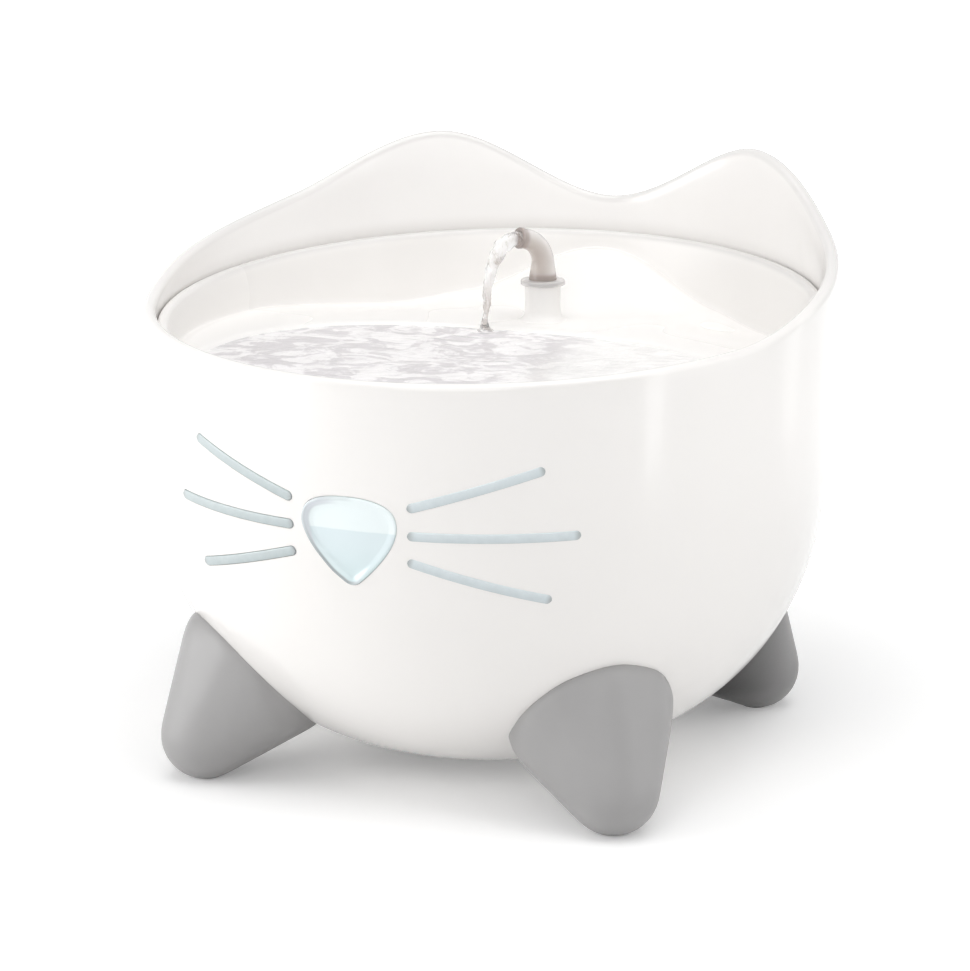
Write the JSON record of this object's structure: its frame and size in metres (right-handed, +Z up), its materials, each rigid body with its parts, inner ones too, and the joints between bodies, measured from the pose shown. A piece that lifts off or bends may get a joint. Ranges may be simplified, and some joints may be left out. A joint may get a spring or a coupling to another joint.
{
  "type": "pet water fountain",
  "caption": "Free-standing pet water fountain: round basin with an ear-shaped rear wall and feet, lift-out drinking dish with a spout, filter cartridge and submerged pump.",
  "frame": {"origin": "on the floor under the axis of the basin, at the centre of the object's box", "axes": "+Z up, front with the nose lens towards -Y, the object's left side towards -X as seen from the front"},
  "size_m": [0.214, 0.2143, 0.18],
  "materials": {
    "white_plastic": "gloss",
    "foot_plastic": "satin",
    "blue_window": "gloss",
    "spout_clear": "gloss",
    "rubber": "matte",
    "screw_steel": "satin",
    "silicone": "satin",
    "carbon": "matte",
    "foam": "matte",
    "chamber_clear": "gloss",
    "pump_plastic": "satin",
    "stator_steel": "satin",
    "copper_wire": "satin",
    "magnet": "satin",
    "shaft_steel": "gloss",
    "board": "satin",
    "led_lens": "gloss",
    "impeller_plastic": "satin"
  },
  "bodies": {
    "tank": {"tank_shell": "white_plastic", "foot_front_left": "foot_plastic", "foot_front_right": "foot_plastic", "foot_rear_left": "foot_plastic", "foot_rear_right": "foot_plastic", "foot_screws": "screw_steel", "foot_pads": "rubber", "whisker_window_left_upper": "blue_window", "whisker_window_left_middle": "blue_window", "whisker_window_left_lower": "blue_window", "whisker_window_right_upper": "blue_window", "whisker_window_right_middle": "blue_window", "whisker_window_right_lower": "blue_window", "nose_lens": "blue_window", "nose_seal": "rubber", "nose_light_cover": "white_plastic", "nose_light_board": "board", "nose_led": "led_lens", "cable_grommet": "rubber"},
    "dish": {"drinking_dish": "white_plastic", "riser_tube": "silicone"},
    "spout_socket": {"spout_collar": "spout_clear", "spout_seal": "rubber"},
    "spout": {"spout_nozzle": "spout_clear"},
    "filter": {"filter_frame": "white_plastic", "filter_carbon": "carbon", "filter_foam": "foam", "filter_lid": "white_plastic"},
    "pump_unit": {"pump_chamber": "chamber_clear", "pump_body": "pump_plastic", "pump_back_plate": "pump_plastic", "pump_stator": "stator_steel", "pump_coil": "copper_wire", "pump_suction_cups": "rubber", "pump_cable_gland": "rubber", "impeller_shaft": "shaft_steel", "shaft_bush": "rubber"},
    "pump_intake": {"pump_cover": "pump_plastic", "pump_cover_bush": "rubber"},
    "rotor": {"impeller": "impeller_plastic", "rotor_magnet": "magnet"}
  },
  "joints": [
    {"name": "dish_lift", "type": "slide", "parent": "tank", "child": "dish", "axis": [0, 0, 1], "range_m": [0, 0.11]},
    {"name": "filter_lift", "type": "slide", "parent": "tank", "child": "filter", "axis": [0, 0, 1], "range_m": [0, 0.067]},
    {"name": "pump_lift", "type": "slide", "parent": "tank", "child": "pump_unit", "axis": [0, 0, 1], "range_m": [0, 0.034]},
    {"name": "spout_pull", "type": "slide", "parent": "dish", "child": "spout_socket", "axis": [0, 0, 1], "range_m": [0, 0.02]},
    {"name": "spout_swivel", "type": "hinge", "parent": "spout_socket", "child": "spout", "pos_m": [0, 0.044, 0.1411], "axis": [0, 0, 1], "range_deg": [-58, 122]},
    {"name": "pump_cover_turn", "type": "hinge", "parent": "pump_unit", "child": "pump_intake", "pos_m": [0, 0.05, 0.043], "axis": [0, 1, 0], "range_deg": [0, 20]},
    {"name": "impeller_spin", "type": "hinge", "parent": "pump_unit", "child": "rotor", "pos_m": [0, 0.044, 0.043], "axis": [0, 1, 0], "continuous": true}
  ],
  "couplings": [
    {"joint": "filter_lift", "follows": "dish_lift", "ratio": 0.6},
    {"joint": "pump_lift", "follows": "dish_lift", "ratio": 0.3}
  ]
}
